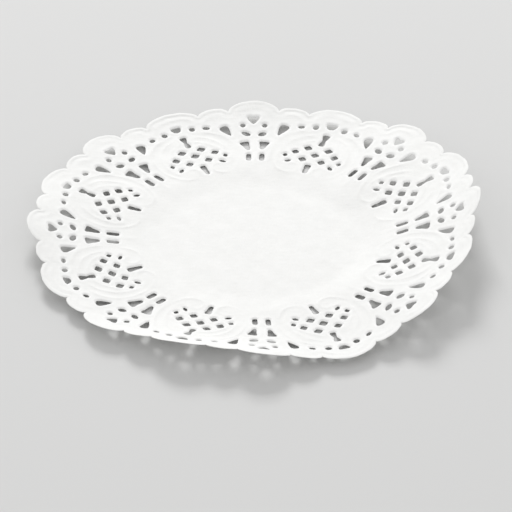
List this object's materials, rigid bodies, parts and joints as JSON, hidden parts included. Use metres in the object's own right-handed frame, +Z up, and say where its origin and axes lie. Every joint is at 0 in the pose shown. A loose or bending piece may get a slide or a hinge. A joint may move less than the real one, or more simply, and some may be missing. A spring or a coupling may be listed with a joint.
{
  "type": "paper doily",
  "caption": "Round white lace paper doily with a plain flat centre, a die-cut ring of lattice medallions and fans, and a scalloped rim that curls up unevenly.",
  "frame": {"origin": "centre of the doily's flat underside, where it rests", "axes": "+Z up through the sheet, out of its embossed face; the fans' axes point along X, Y and the diagonals, and the rim curls up most towards +X"},
  "size_m": [0.1351, 0.1386, 0.0179],
  "materials": {
    "paper": "matt, uncoated, lightly embossed"
  },
  "bodies": {
    "root": {"doily": "paper"}
  },
  "joints": []
}
